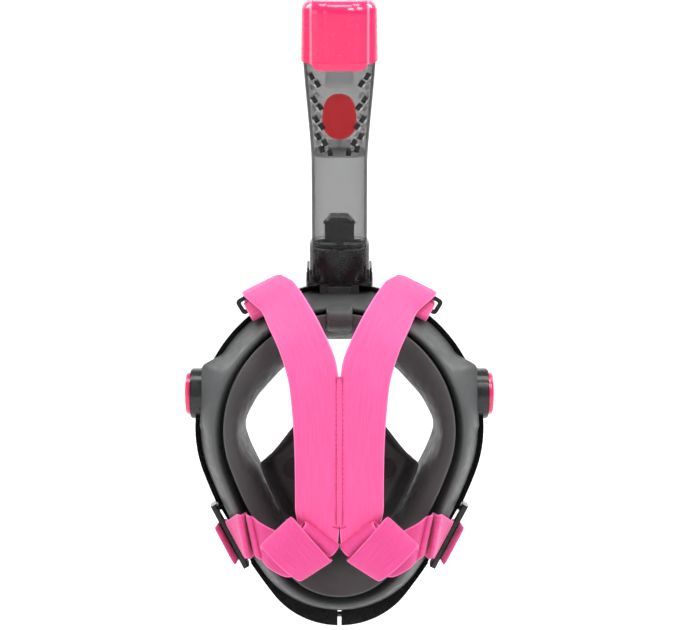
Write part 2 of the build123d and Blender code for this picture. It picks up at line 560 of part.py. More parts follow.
with BuildPart() as seat_tube:
    with BuildSketch(snorkel_foot.offset(HEAD_TOP - 3)):
        with Locations((0, DIVIDER_Y + 20)):
            Rectangle(60, 40)
    extrude(amount=1.2)
    add(snorkel_solid(WALL + FIT), mode=Mode.INTERSECT)
    add(rod(snorkel_foot, SEAT_DIAMETER, SEAT_MOUTH, HEAD_TOP, at=(0, FLOAT_Y)))
    add(rod(snorkel_foot, SEAT_BORE, SEAT_MOUTH - 1, HEAD_TOP + 3, at=(0, FLOAT_Y)), mode=Mode.SUBTRACT)
seat_tube.part.label = "float_seat"
export_step(seat_tube.part, "parts/float_seat.step")

float_plane = Plane(origin=snorkel_foot.from_local_coords((0, FLOAT_Y, FLOAT_LOW)), x_dir=(1, 0, 0),
                    z_dir=-snorkel_foot.y_dir)
with BuildPart() as float_ball:
    with BuildSketch(float_plane):
        with BuildLine():
            CenterArc((0, 0), FLOAT_RADIUS, -90, 90)
            Spline((FLOAT_RADIUS, 0), (0, FLOAT_CROWN), tangents=((0, 1), (-1, 0)))
            Line((0, FLOAT_CROWN), (0, -FLOAT_RADIUS))
        make_face()
    revolve(axis=Axis(float_plane.origin, snorkel_foot.z_dir))
float_ball.part.label = "float"
export_step(float_ball.part, "parts/float.step")

with BuildPart() as tongue:
    with BuildSketch(back_view) as outline:
        with Locations((0, TONGUE_LOW + 10)):
            Rectangle(PANEL_WIDTH, 20)
        fillet(outline.vertices().group_by(Axis.Y)[0], 7)
    extrude(amount=-40)
    add(snorkel_solid(-2.4), mode=Mode.INTERSECT)


def cap_section(height, size, wall=0, proud=0, width=None):
    """One section of the cap; proud and width give its raised middle panel."""
    with BuildSketch(snorkel_foot.offset(height)) as section:
        RectangleRounded((width or size[0]) - 2 * wall, size[1] + 2 * proud - 2 * wall, size[2] - wall)
    return section.sketch


with BuildPart() as panel:
    for height, size in ((HEAD_TOP - CAP_OVERLAP, CAP_FOOT), (CAP_TOP - 0.6, CAP_CROWN)):
        add(cap_section(height, size, proud=PANEL_PROUD, width=PANEL_WIDTH))
    loft()
    fillet(panel.edges().group_by(axis_line)[-1], 7)
with BuildPart() as cap:
    for height, size in ((HEAD_TOP - CAP_OVERLAP, CAP_FOOT), (CAP_TOP, CAP_CROWN)):
        add(cap_section(height, size))
    loft()
    fillet(cap.edges().group_by(axis_line)[-1], 8)
    add(panel.part)
    for height, size in ((HEAD_TOP - CAP_OVERLAP - 1, CAP_FOOT), (CAP_TOP - CAP_WALL - 2, CAP_CROWN)):
        add(cap_section(height, size, wall=CAP_WALL))
    loft(mode=Mode.SUBTRACT)
    add(tongue.part)
    add(snorkel_solid(-0.1), mode=Mode.SUBTRACT)
cap.part.label = "cap"
export_step(cap.part, "parts/cap.step")

# ---------------------------------------------------------------- strap hardware
# Stations of the straps: the webbing's middle, then its lean across X and Z and its course along Y
UPPER_STRAP = ((53.7, -21, 72, 0.873, 0.488, 0.8), (44.5, 6, 68, 0.873, 0.488, 0.9),
               (31, 34, 50, 0.9, 0.43, 0.8), (21.5, 52, 25, 0.97, 0.22, 0.5),
               (17.2, 59, -2, 1, 0.05, 0.1), (16, 59, -50, 1, 0, -0.05), (16, 54, -96, 1, 0, -0.2))
LOWER_STRAP = ((8, 49, -116, -0.1, 0.1, 1), (30, 51, -119, -0.1, -0.3, 1), (50, 36, -112, 0.2, -1, 1),
               (64, 18, -107, 0.4, -1.5, 0.9), (72.4, -2, -105.4, 0.463, -2, 0.886))
LOWER_BULK = 5
for name, side in SIDES:
    turn = radians(BRACKET_ANGLE)
    bracket_plane = Plane(origin=(0, BRACKET_Y[1], BRACKET_Z), x_dir=(sin(turn), 0, -side * cos(turn)),
                          z_dir=(0, -1, 0))
    with BuildPart() as bracket:
        with BuildSketch(bracket_plane):
            with Locations((0, BRACKET_REACH)):
                RectangleRounded(BRACKET_LENGTH, BRACKET_WIDTH, 3)
                RectangleRounded(BRACKET_LENGTH - 2 * BRACKET_BAR, BRACKET_WIDTH - 2 * BRACKET_BAR, 1,
                                 mode=Mode.SUBTRACT)
        extrude(amount=BRACKET_Y[1] - BRACKET_Y[0])
        with BuildSketch(bracket_plane):
            with Locations((0, BRACKET_REACH - (BRACKET_WIDTH - BRACKET_BAR) / 2)):
                Rectangle(STEM_WIDTH, BRACKET_BAR)
        extrude(amount=STEM_REACH)
    bracket.part.label = f"strap_bracket_{name}"
    export_step(bracket.part, f"parts/strap_bracket_{name}.step")

    hook = buckle_plane(side, BUCKLE_TILT)
    half = BUCKLE_LENGTH / 2
    with BuildPart() as buckle:
        with BuildSketch(hook.offset(-half)):
            with Locations((BUCKLE_REACH, 0)):
                RectangleRounded(BUCKLE_BAR, BUCKLE_BAR, 1)
        extrude(amount=BUCKLE_LENGTH)
        for end in (-half, half - BUCKLE_ARM[0]):
            with BuildSketch(hook.offset(end)):
                with Locations((BUCKLE_REACH / 2, 0)):
                    SlotOverall(BUCKLE_REACH + BUCKLE_ARM[1], BUCKLE_ARM[1])
            extrude(amount=BUCKLE_ARM[0])
        add(rod(hook, PIN_HOLE, -40, 40), mode=Mode.SUBTRACT)
    buckle.part.label = f"strap_buckle_{name}"
    export_step(buckle.part, f"parts/strap_buckle_{name}.step")
    pin = rod(hook, BUCKLE_PIN, -half, half)
    pin.label = f"buckle_pin_{name}"
    export_step(pin, f"parts/buckle_pin_{name}.step")

    # ------------------------------------------------------------ elastic straps
    with BuildPart() as loop:
        with BuildSketch(hook.offset(-STRAP_WIDTH / 2)):
            with Locations((BUCKLE_REACH + 0.6, 0)):
                SlotOverall(*STRAP_LOOP)
                SlotOverall(*STRAP_LOOP_HOLE, mode=Mode.SUBTRACT)
        extrude(amount=STRAP_WIDTH)
    loop.part.label = f"strap_end_{name}"
    export_step(loop.part, f"parts/strap_end_{name}.step")

    upper = ribbon([((side * x, y, z), (a, 0, -side * b), (-side * b / 2, c, -a))
                    for x, y, z, a, b, c in UPPER_STRAP])
    upper.label = f"strap_upper_{name}"
    export_step(upper, f"parts/strap_upper_{name}.step")
    lower = ribbon([((side * x, y, z), (-side * a, 0, -c), (side * c, b, -a))
                    for x, y, z, a, b, c in LOWER_STRAP], thickness=LOWER_BULK)
    lower.label = f"strap_lower_{name}"
    export_step(lower, f"parts/strap_lower_{name}.step")

SEAM_WIDTH, SEAM_Y, SEAM_TOP, SEAM_LOW = 3.6, 60.6, 12, -94
with BuildPart() as seam:
    with Locations((0, SEAM_Y, (SEAM_TOP + SEAM_LOW) / 2)):
        Box(SEAM_WIDTH, 1, SEAM_TOP - SEAM_LOW)
seam.part.label = "centre_seam"
export_step(seam.part, "parts/centre_seam.step")
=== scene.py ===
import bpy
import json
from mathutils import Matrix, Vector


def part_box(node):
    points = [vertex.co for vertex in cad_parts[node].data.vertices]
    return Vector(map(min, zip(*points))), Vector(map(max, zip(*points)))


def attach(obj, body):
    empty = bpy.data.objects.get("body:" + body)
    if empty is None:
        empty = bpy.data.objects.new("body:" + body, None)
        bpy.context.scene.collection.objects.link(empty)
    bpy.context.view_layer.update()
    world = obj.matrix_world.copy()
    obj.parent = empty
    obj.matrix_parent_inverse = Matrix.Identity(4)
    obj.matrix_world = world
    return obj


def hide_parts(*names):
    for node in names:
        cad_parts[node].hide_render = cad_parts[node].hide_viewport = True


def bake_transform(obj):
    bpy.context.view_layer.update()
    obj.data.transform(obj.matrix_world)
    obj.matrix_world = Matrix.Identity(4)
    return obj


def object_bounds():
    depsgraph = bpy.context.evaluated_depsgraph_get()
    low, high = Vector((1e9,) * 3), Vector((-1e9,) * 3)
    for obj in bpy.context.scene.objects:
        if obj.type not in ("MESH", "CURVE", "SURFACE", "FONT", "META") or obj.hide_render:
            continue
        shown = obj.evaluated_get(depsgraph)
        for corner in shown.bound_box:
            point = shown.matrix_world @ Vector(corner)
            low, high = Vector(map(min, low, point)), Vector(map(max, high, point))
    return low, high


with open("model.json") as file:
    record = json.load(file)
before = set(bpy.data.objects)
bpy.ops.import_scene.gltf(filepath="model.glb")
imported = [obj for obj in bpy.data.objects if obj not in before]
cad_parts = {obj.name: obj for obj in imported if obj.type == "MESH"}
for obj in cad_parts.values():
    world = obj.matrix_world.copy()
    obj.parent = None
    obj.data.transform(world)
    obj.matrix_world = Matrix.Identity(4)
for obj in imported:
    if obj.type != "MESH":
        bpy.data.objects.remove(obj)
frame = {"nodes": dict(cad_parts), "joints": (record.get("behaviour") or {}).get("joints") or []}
cad_box = [[float(v) for v in corner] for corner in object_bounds()]

import json
import math
import bmesh
import bpy
import numpy as np
from mathutils import Vector

MM = 0.001
SIDES = (("left", 1), ("right", -1))
# The third number is how far from a strap's middle, in mm, the painted highlight along each selvedge begins
WEB_THICKNESS, WEB_HALF, SELVEDGE_HIGHLIGHT_START = 1.7, 15.2, 14.4
nodes = frame["nodes"]
joints = {joint["name"]: joint for joint in frame["joints"]}

# Egg outlines of the rim and of the skirt's lip, in millimetres; the rim's is the CAD's, the lip's is its own
RIM_Z, LIP_Z, EGG_TURN, SIDE_REACH = -26.9, -24, math.radians(18), 201
# Double-curved surfaces after the CAD's (foremost Y, radius across, radius upright), and their middle height
EQUATOR_Z = -45
VISOR_INSIDE = (-77.5, 112.5, 227.5)
RIM_BACK = (-60, 125, 300)
SEAL = (-4, 125, 500)
CUP_EDGE = (-30, 125, 500)


# ------------------------------------------------------------------ materials
class Material:
    """A Principled material with helpers for layered procedural detail."""

    def __init__(self, name, color, roughness, **sockets):
        self.mat = bpy.data.materials.new(name)
        self.mat.use_nodes = True
        self.tree = self.mat.node_tree
        self.shader = self.tree.nodes["Principled BSDF"]
        self.shader.inputs["Base Color"].default_value = (*color, 1)
        self.shader.inputs["Roughness"].default_value = roughness
        for socket, value in sockets.items():
            self.shader.inputs[socket.replace("_", " ")].default_value = value
        self.last_bump = None

    def node(self, kind, **inputs):
        made = self.tree.nodes.new(kind)
        for socket, value in inputs.items():
            made.inputs[socket.replace("_", " ")].default_value = value
        return made

    def join(self, out, into):
        self.tree.links.new(out, into)

    def place(self, kind="Object", scale=(1, 1, 1)):
        coords = self.node("ShaderNodeTexCoord")
        mapping = self.node("ShaderNodeMapping", Scale=scale)
        self.join(coords.outputs[kind], mapping.inputs["Vector"])
        return mapping.outputs["Vector"]

    def noise(self, scale, detail=3.0, kind="Object", stretch=(1, 1, 1)):
        made = self.node("ShaderNodeTexNoise", Scale=scale, Detail=detail)
        self.join(self.place(kind, stretch), made.inputs["Vector"])
        return made.outputs["Fac"]

    def ramp(self, fac, low, high, start=0.3, end=0.7):
        made = self.node("ShaderNodeValToRGB")
        made.color_ramp.elements[0].position = start
        made.color_ramp.elements[0].color = (*low, 1)
        made.color_ramp.elements[1].position = end
        made.color_ramp.elements[1].color = (*high, 1)
        self.join(fac, made.inputs["Fac"])
        return made.outputs["Color"]

    def color(self, fac, low, high, start=0.3, end=0.7):
        self.join(self.ramp(fac, low, high, start, end), self.shader.inputs["Base Color"])

    def roughness(self, fac, low, high):
        self.join(self.ramp(fac, (low,) * 3, (high,) * 3), self.shader.inputs["Roughness"])

    def bump(self, height, strength, distance):
        made = self.node("ShaderNodeBump", Strength=strength, Distance=distance)
        self.join(height, made.inputs["Height"])
        if self.last_bump:
            self.join(self.last_bump, made.inputs["Normal"])
        self.last_bump = made.outputs["Normal"]
        self.join(self.last_bump, self.shader.inputs["Normal"])

    def mix(self, fac, low, high):
        """Color mix of two color outputs or constants by a factor output."""
        made = self.node("ShaderNodeMix")
        made.data_type = "RGBA"
        self.join(fac, made.inputs["Factor"])
        for value, socket in ((low, made.inputs[6]), (high, made.inputs[7])):
            if isinstance(value, tuple):
                socket.default_value = (*value, 1)
            else:
                self.join(value, socket)
        return made.outputs[2]

    def math(self, operation, a, b):
        made = self.node("ShaderNodeMath")
        made.operation = operation
        for value, socket in ((a, made.inputs[0]), (b, made.inputs[1])):
            if isinstance(value, (int, float)):
                socket.default_value = value
            else:
                self.join(value, socket)
        return made.outputs[0]


def scaled(color, factor):
    """A color made darker or brighter, kept within range."""
    return tuple(min(1, c * factor) for c in color)


def worn_plastic(name, color, worn, roughness, **sockets):
    """Moulded plastic: faint mottling, fine surface grain and paler rubbed edges."""
    made = Material(name, color, roughness, **sockets)
    base = made.ramp(made.noise(55, 4), scaled(color, 0.86), scaled(color, 1.08))
    edge = made.node("ShaderNodeNewGeometry").outputs["Pointiness"]
    rubbed = made.ramp(edge, (0, 0, 0), (0.3, 0.3, 0.3), 0.57, 0.72)
    made.join(made.mix(rubbed, base, worn), made.shader.inputs["Base Color"])
    made.roughness(made.noise(130, 5), roughness * 0.75, roughness * 1.5)
    made.bump(made.noise(900, 2), 0.05, 0.0002)
    made.bump(made.noise(90, 2), 0.04, 0.0006)
    return made.mat


def ridged_shell(name, color, edge_color, edge_at):
    """Glossy shell with a pale line at each edge of its middle panel, standing for the light it catches."""
    made = Material(name, color, 0.2, Coat_Weight=0.4)
    base = made.ramp(made.noise(40, 3), scaled(color, 0.92), scaled(color, 1.05))
    axes = made.node("ShaderNodeSeparateXYZ")
    made.join(made.place(), axes.inputs["Vector"])
    across = made.math("ABSOLUTE", axes.outputs["X"], 0)
    off = made.math("ABSOLUTE", made.math("SUBTRACT", across, edge_at), 0)
    # Palest within 0.2 mm of the panel's edge, and gone 1.2 mm from it
    near = made.ramp(made.math("MULTIPLY", off, 500), (0.75, 0.75, 0.75), (0, 0, 0), 0.1, 0.6)
    made.join(made.mix(near, base, edge_color), made.shader.inputs["Base Color"])
    made.roughness(made.noise(130, 5), 0.15, 0.3)
    made.bump(made.noise(900, 2), 0.04, 0.0002)
    return made.mat


def silicone(name, dark, light, hollow=None):
    """Moulded silicone with soft mottling and fine grain; a hollow color paints shade on it, darkening it
    away from the seal into the hollow.
    """
    made = Material(name, light, 0.5, Specular_IOR_Level=0.4)
    tone = made.ramp(made.noise(28, 5), dark, light, 0.25, 0.75)
    if hollow:
        axes = made.node("ShaderNodeSeparateXYZ")
        made.join(made.place(), axes.inputs["Vector"])
        # Painted shade: darkest 34 mm in front of the seal, and in full tone 3 mm behind it
        depth = made.math("ADD", made.math("MULTIPLY", axes.outputs["Y"], 16), 0.75)
        tone = made.mix(made.ramp(depth, (0, 0, 0), (1, 1, 1), 0.2, 0.8), hollow, tone)
    made.join(tone, made.shader.inputs["Base Color"])
    made.roughness(made.noise(160, 4), 0.4, 0.62)
    made.bump(made.noise(2200, 2), 0.16, 0.0002)
    made.bump(made.noise(60, 3), 0.08, 0.0008)
    return made.mat


def webbing(name, deep, bright):
    """Knitted elastic webbing: fine wales along the strap, weft across it, a painted highlight along its
    selvedges, UVs in millimetres.
    """
    made = Material(name, bright, 0.75, Sheen_Weight=0.35, Sheen_Roughness=0.4)
    made.shader.inputs["Sheen Tint"].default_value = (1, 0.75, 0.88, 1)
    wales = made.node("ShaderNodeTexWave", Scale=0.34, Distortion=0.35, Detail=1.0)
    wales.bands_direction = "X"
    weft = made.node("ShaderNodeTexWave", Scale=0.5, Distortion=0.6, Detail=1.0)
    weft.bands_direction = "Y"
    place = made.place("UV")
    axes = made.node("ShaderNodeSeparateXYZ")
    made.join(place, axes.inputs["Vector"])
    # Mask of both selvedges, where the strap gets a painted highlight
    selvedge = made.math("GREATER_THAN", made.math("ABSOLUTE", axes.outputs["X"], 0), SELVEDGE_HIGHLIGHT_START)
    made.join(place, wales.inputs["Vector"])
    made.join(place, weft.inputs["Vector"])
    knit = made.math("MULTIPLY", wales.outputs["Fac"], weft.outputs["Fac"])
    streak = made.noise(0.9, 3, "UV", (1, 0.05, 1))
    tone = made.math("ADD", made.math("MULTIPLY", knit, 0.45), made.math("MULTIPLY", streak, 0.62))
    cloth = made.ramp(tone, deep, bright, 0.2, 0.75)
    # Paler pink along the selvedges: painted highlight, standing for the light the strap's rounded edges
    # catch
    edge_highlight = tuple(min(1, c * 1.05 + 0.04) for c in bright)
    made.join(made.mix(selvedge, cloth, edge_highlight), made.shader.inputs["Base Color"])
    made.roughness(made.noise(0.6, 3, "UV"), 0.66, 0.85)
    made.bump(knit, 0.35, 0.00035)
    made.bump(wales.outputs["Fac"], 0.2, 0.0004)
    made.bump(made.noise(5, 3, "UV"), 0.15, 0.0002)
    return made.mat


def clear_plastic(name, color, roughness, opacity, density):
    """See-through plastic with a faint haze on its surface and a tint that deepens with its thickness."""
    made = Material(name, color, roughness, Alpha=opacity, IOR=1.5)
    made.color(made.noise(14, 3), scaled(color, 0.8), color)
    made.roughness(made.noise(40, 4), roughness * 0.5, roughness * 1.6)
    made.bump(made.noise(35, 2), 0.03, 0.0004)
    tint = made.node("ShaderNodeVolumeAbsorption", Density=density)
    tint.inputs["Color"].default_value = (0.05, 0.052, 0.055, 1)
    made.join(tint.outputs["Volume"], made.tree.nodes["Material Output"].inputs["Volume"])
    return made.mat


def metal(name, color, roughness):
    """Metal with a fine brushed grain."""
    made = Material(name, color, roughness, Metallic=1.0)
    made.roughness(made.noise(220, 4, stretch=(8, 1, 1)), roughness * 0.6, roughness * 1.5)
    made.bump(made.noise(600, 3, stretch=(8, 1, 1)), 0.08, 0.0002)
    return made.mat


PINK_SHELL = worn_plastic("pink_shell", (0.9, 0.016, 0.13), (1.0, 0.08, 0.22), 0.2, Coat_Weight=0.4)
CAP_SHELL = ridged_shell("cap_shell", (0.9, 0.014, 0.125), (1.0, 0.3, 0.45), 0.0195)
BLACK_SHELL = worn_plastic("black_shell", (0.012, 0.012, 0.013), (0.05, 0.05, 0.052), 0.24,
                           Specular_IOR_Level=0.35, Coat_Weight=0.1)
# The float's emission is painted light: it makes the red glow as if brightly lit through the smoked tube
RED_FLOAT = worn_plastic("red_float", (0.8, 0.0, 0.01), (0.85, 0.01, 0.01), 0.45, Specular_IOR_Level=0.08,
                         Emission_Strength=0.6, Emission_Color=(0.8, 0.0, 0.012, 1))
# The skirt's hollow color is painted shade, deepening inside the bowl towards the window
SKIRT_SILICONE = silicone("skirt_silicone", (0.062, 0.065, 0.066), (0.09, 0.093, 0.094),
                          hollow=(0.016, 0.02, 0.02))
CUP_SILICONE = silicone("cup_silicone", (0.03, 0.034, 0.034), (0.044, 0.049, 0.049))
VALVE_RUBBER = silicone("valve_rubber", (0.012, 0.012, 0.012), (0.024, 0.024, 0.024))
STRAP_WEB = webbing("strap_web", (0.88, 0.07, 0.27), (1.0, 0.135, 0.41))
# Darker copy of the strap webbing: painted shade for the lower pieces (curl, band, pleat and buckle loop),
# which hang further from the light
STRAP_SHADED = webbing("strap_shaded", (0.7, 0.045, 0.22), (0.84, 0.085, 0.34))
THREAD = webbing("thread", (0.6, 0.03, 0.17), (0.8, 0.07, 0.3))
VISOR_CLEAR = clear_plastic("visor_clear", (0.6, 0.62, 0.63), 0.05, 0.05, 1)
SMOKE_CLEAR = clear_plastic("smoke_clear", (0.03, 0.031, 0.033), 0.1, 0.25, 120)
INNER_CLEAR = clear_plastic("inner_clear", (0.1, 0.1, 0.105), 0.12, 0.06, 40)
# Pale clear plastic for the vent ribs: its paleness is a painted highlight
PALE_CLEAR = clear_plastic("pale_clear", (0.93, 0.94, 0.95), 0.15, 0.8, 1)
DARK_METAL = metal("dark_metal", (0.07, 0.07, 0.075), 0.3)

NODE_MATERIALS = {
    "visor": VISOR_CLEAR, "rim": BLACK_SHELL, "chin": DARK_METAL, "inhale_seat": VISOR_CLEAR,
    "inhale_flap": VALVE_RUBBER, "purge_seat": BLACK_SHELL, "purge_cover": BLACK_SHELL,
    "purge_flap": VALVE_RUBBER, "side_seat": BLACK_SHELL, "side_flap": VALVE_RUBBER,
    "side_ring": BLACK_SHELL, "side_cover": PINK_SHELL, "port": BLACK_SHELL, "port_seal": VALVE_RUBBER,
    "forehead_duct": SKIRT_SILICONE, "valve_tower": BLACK_SHELL, "tower_pin": DARK_METAL,
    "tower_flap": VALVE_RUBBER, "release_latch": BLACK_SHELL, "snorkel_tube": SMOKE_CLEAR,
    "float_floor": SMOKE_CLEAR, "airway_divider": INNER_CLEAR, "float_seat": INNER_CLEAR,
    "float": RED_FLOAT, "cap": CAP_SHELL, "strap_bracket": BLACK_SHELL, "strap_buckle": BLACK_SHELL,
    "buckle_pin": DARK_METAL}


def dress_nodes():
    """Give each CAD node its material; the longest matching name wins."""
    for name, node in nodes.items():
        found = [key for key in NODE_MATERIALS if name.startswith(key)]
        if found:
            node.data.materials.clear()
            node.data.materials.append(NODE_MATERIALS[max(found, key=len)])


# ------------------------------------------------------------------ mesh helpers
def make_piece(name, points, faces, material, body="root", uvs=None):
    """A smooth mesh from points in millimetres, riding on a body, with its material in one slot."""
    mesh = bpy.data.meshes.new(name)
    mesh.from_pydata([tuple(c * MM for c in p) for p in points], [], faces)
    shape = bmesh.new()
    shape.from_mesh(mesh)
    bmesh.ops.recalc_face_normals(shape, faces=shape.faces)
    shape.to_mesh(mesh)
    shape.free()
    piece = bpy.data.objects.new(name, mesh)
    bpy.context.scene.collection.objects.link(piece)
    mesh.materials.append(material)
    for polygon in mesh.polygons:
        polygon.use_smooth = True
    if uvs is not None:
        layer = mesh.uv_layers.new(name="UVMap")
        for loop in mesh.loops:
            layer.data[loop.index].uv = uvs[loop.vertex_index]
    if body:
        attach(piece, body)
    return piece


def subdivide(piece):
    """Round a piece off by one level of subdivision."""
    modifier = piece.modifiers.new("Smooth", "SUBSURF")
    modifier.levels = modifier.render_levels = 1


def barrel_y(surface, x, z):
    """Y of a double-curved surface (foremost Y, radius across, radius upright) at x, z."""
    front, across, upright = surface
    r = across - (upright - np.sqrt(upright**2 - (z - EQUATOR_Z) ** 2))
    return front + across - np.sqrt(np.maximum(r**2 - x**2, 1))


def egg_points(radius, bottom, top_z=LIP_Z, count=900):
    """Points of the egg outline, by its four arcs."""
    side_x, side_z = SIDE_REACH * math.cos(EGG_TURN), top_z + SIDE_REACH * math.sin(EGG_TURN)
    side_radius, drop = radius + SIDE_REACH, side_z - bottom
    chin_radius = (side_radius**2 - side_x**2 - drop**2) / (2 * (side_radius - drop))
    chin_z = bottom + chin_radius
    jaw = math.atan2(chin_z - side_z, side_x)
    arcs = ((0, top_z, radius, -EGG_TURN, math.pi + EGG_TURN),
            (side_x, side_z, side_radius, math.pi + EGG_TURN, math.pi - jaw),
            (0, chin_z, chin_radius, -math.pi - jaw, jaw),
            (-side_x, side_z, side_radius, jaw, -EGG_TURN))
    runs = []
    for x, z, r, start, end in arcs:
        a = np.linspace(start, end, count)
        runs.append(np.stack([x + r * np.cos(a), z + r * np.sin(a)], 1))
    return np.concatenate(runs)


def polar(points, centre_z, angles):
    """Radius of a closed outline about (0, centre_z), at each angle."""
    around = np.arctan2(points[:, 1] - centre_z, points[:, 0])
    order = np.argsort(around)
    reach = np.hypot(points[:, 0], points[:, 1] - centre_z)
    return np.interp(angles, around[order], reach[order], period=2 * math.pi)


def rounded(points, passes=60):
    """A closed polygon resampled finely and rounded at its corners."""
    closed = np.array(points + points[:1], float)
    steps = np.hypot(*np.diff(closed, axis=0).T)
    along = np.concatenate([[0], np.cumsum(steps)])
    at = np.linspace(0, along[-1], 700, endpoint=False)
    fine = np.stack([np.interp(at, along, closed[:, i]) for i in (0, 1)], 1)
    for _ in range(passes):
        fine = (np.roll(fine, 1, 0) + 2 * fine + np.roll(fine, -1, 0)) / 4
    return fine


def mirrored(half):
    """A closed outline from its +X half, listed from top to bottom."""
    return half + [(-x, z) for x, z in reversed(half) if x]


def ring_mesh(name, rings, material, caps=False):
    """Skin closed rings of points; the last ring joins the first unless both ends get a cap."""
    count = len(rings[0])
    points = [tuple(p) for ring in rings for p in ring]
    faces = []
    last = len(rings) - 1 if caps else len(rings)
    for k in range(last):
        a, b = k * count, ((k + 1) % len(rings)) * count
        for i in range(count):
            j = (i + 1) % count
            faces.append((a + i, a + j, b + j, b + i))
    if caps:
        faces.append(tuple(reversed(range(count))))
        faces.append(tuple(range((len(rings) - 1) * count, len(rings) * count)))
    return make_piece(name, points, faces, material)


# ------------------------------------------------------------------ silicone skirt
# The +X half of the opening that the wearer looks through, from top to bottom
WINDOW_HALF = [(0, 34.6), (12, 34.4), (22, 25), (40.2, 13.6), (59.3, -6.7), (69, -24.7), (69, -32),
               (64.5, -45.2), (58.8, -57.6), (43, -90), (20, -112), (0, -118)]
SKIRT_CENTRE = -42

# Middle of a side pod and its reach to the rear
pod_low, pod_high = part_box("side_ring_left")
POD_Y, POD_Z = ((pod_low[i] + pod_high[i]) / 2 / MM for i in (1, 2))
POD_HALF, POD_MARGIN = 18, 0.8
# Saddle of the skirt behind a pod: how far out it is, half its height, its flare, and its rise above the pod
SADDLE_X, SADDLE_HALF, SADDLE_FLARE, SADDLE_RAISE = 97, 20, 7, 1.5


def pod_saddle(points, swell):
    """Push one skirt ring out behind the side pods, so the band carries a saddle with flared ends."""
    off = np.abs(points[:, 2] - POD_Z - SADDLE_RAISE)
    share = np.clip((SADDLE_HALF + SADDLE_FLARE - off) / SADDLE_FLARE, 0, 1)
    share = share**2 * (3 - 2 * share) * swell
    out = points.copy()
    out[:, 0] += np.sign(points[:, 0]) * np.maximum(SADDLE_X - np.abs(points[:, 0]), 0) * share
    back = POD_Y + POD_HALF + POD_MARGIN
    out[:, 1] += np.maximum(back - points[:, 1], 0) * np.clip(share * 1.3, 0, 1)
    return out


# Rings of the skirt: radius and foot of the egg outline, share of the way from rim to seal, and lift along Y
BAND_RINGS = ((95.4, -161.4, 0, -5), (98.3, -164, 0, 0.4), (98.6, -164.2, 0, 2.2), (97, -162, 0.18, 0),
              (93.2, -158.6, 0.5, 0), (88.8, -155, 0.76, 0), (86, -152.4, 0.83, 0), (83.6, -149.6, 0.78, 0),
              (82.3, -147.6, 0.62, 0))
LIP_RINGS = ((80.6, -145.1, 0.55, 0), (79.6, -144.4, 0.7, 0), (79.4, -144.3, 0.86, 0),
             (80.3, -144.9, 0.96, 0), (80.2, -144.8, 1, 0.1), (78.9, -143.6, 1, 0.5), (76, -141, 1, -0.8))
# Rings of the band that swell into the saddles, and how much
SADDLE_SWELL = ((1, 1), (2, 1), (3, 0.72), (4, 0.3))
# The bowl from the lip to the window: share of the way, and distance in front of the seal
BOWL_RINGS = ((0, 3), (0.25, 7), (0.5, 12.5), (0.72, 19), (0.88, 27), (0.97, 35))
# Egg outlines (radius, foot) where the bowl starts and where the skirt ends on the visor
BOWL_START, VISOR_EDGE = (72, -137), (94.8, -160.8)
# The window's rear edge is this far in front of the seal, or this far behind the visor if that is further
# forward; the last number is the gap between skirt and visor
WINDOW_DEPTH, WINDOW_LIP, VISOR_GAP = 40, 14, 0.7
# Then the edge turns forward (inset, distance behind the visor) and runs along the visor to the rim (shares)
WINDOW_TURN, VISOR_SHARES = ((0.8, 4), (0.2, 0)), (0.2, 0.45, 0.7, 1)


def make_skirt():
    """Band, groove, rolled seal edge and the bowl down to the window, then back along the visor."""
    angles = np.linspace(0, 2 * math.pi, 240, endpoint=False)
    cos, sin = np.cos(angles), np.sin(angles)
    window = polar(rounded(mirrored(WINDOW_HALF)), SKIRT_CENTRE, angles)

    def ring(reach, depth):
        x, z = reach * cos, SKIRT_CENTRE + reach * sin
        return np.stack([x, depth(x, z), z], 1)

    def egg_reach(radius, bottom, top_z=LIP_Z):
        return polar(egg_points(radius, bottom, top_z), SKIRT_CENTRE, angles)

    def rim(x, z):
        return barrel_y(RIM_BACK, x, z)

    def seal(x, z):
        return barrel_y(SEAL, x, z)

    def visor(x, z):
        return barrel_y(VISOR_INSIDE, x, z) + VISOR_GAP

    def between(share, lift):
        return lambda x, z: rim(x, z) * (1 - share) + seal(x, z) * share + lift

    rings = []
    for radius, foot, share, lift in BAND_RINGS:
        rings.append(ring(egg_reach(radius, foot, RIM_Z), between(share, lift)))
    for k, swell in SADDLE_SWELL:
        rings[k] = pod_saddle(rings[k], swell)
    for radius, foot, share, lift in LIP_RINGS:
        rings.append(ring(egg_reach(radius, foot), between(share, lift)))
    lip = egg_reach(*BOWL_START)
    for share, sink in BOWL_RINGS:
        rings.append(ring(lip * (1 - share) + window * share, lambda x, z, sink=sink: seal(x, z) - sink))
    rings.append(ring(window, lambda x, z: np.minimum(seal(x, z) - WINDOW_DEPTH, visor(x, z) + WINDOW_LIP)))
    for inset, raised in WINDOW_TURN:
        rings.append(ring(window - inset, lambda x, z, raised=raised: visor(x, z) + raised))
    edge = egg_reach(*VISOR_EDGE, RIM_Z)
    for share in VISOR_SHARES:
        rings.append(ring(window * (1 - share) + edge * share, visor))
    piece = ring_mesh("skirt_soft", rings, SKIRT_SILICONE)
    subdivide(piece)
    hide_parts("face_skirt")


# Sleeve over the forehead duct: half its width, its wall, and its course as (z, y)
SLEEVE_HALF, SLEEVE_WALL = 9, 2.4
SLEEVE_RUN = [(71, -33), (67.5, -26), (64, -17), (61.6, -10), (61, -6.5), (59, 1.5), (57.4, 7.4), (54.6, 9),
              (52.2, 8.4), (51.8, 6.6), (48, 3.4), (44, -5.5), (40, -16), (36.6, -27), (35.2, -36)]


